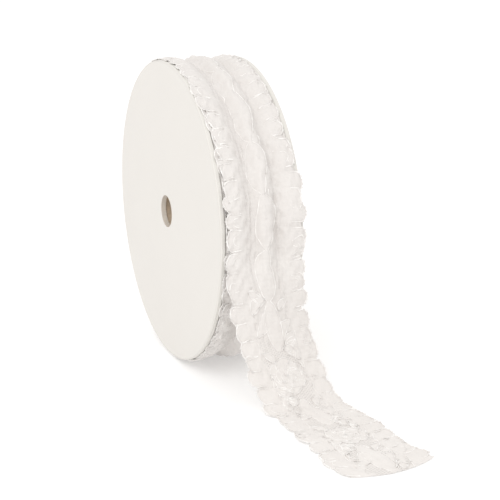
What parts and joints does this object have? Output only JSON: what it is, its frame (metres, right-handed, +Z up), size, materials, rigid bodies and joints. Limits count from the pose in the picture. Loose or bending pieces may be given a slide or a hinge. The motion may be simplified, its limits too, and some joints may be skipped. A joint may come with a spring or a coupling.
{
  "type": "roll of lace trim",
  "caption": "Roll of floral galloon lace trim wound on a flat card spool with a spindle hole, its loose end falling to the surface in front.",
  "frame": {"origin": "middle of the small flat under the roll, on the surface it stands on", "axes": "+Z up, +X along the roll's axis from the near disc to the far disc, -Y towards the cut end of the loose tail"},
  "size_m": [0.063, 0.2474, 0.1521],
  "materials": {
    "white_card": "off-white uncoated card with a smooth laid paper face",
    "kraft_board": "brown kraft paperboard, matt, wound in a shallow spiral",
    "lace": "soft white nylon lace, matt clothwork with satin outline cord"
  },
  "bodies": {
    "root": {"flange_near": "white_card", "flange_far": "white_card", "core_tube": "kraft_board", "wound_lace": "lace", "loose_tail": "lace"}
  },
  "joints": []
}
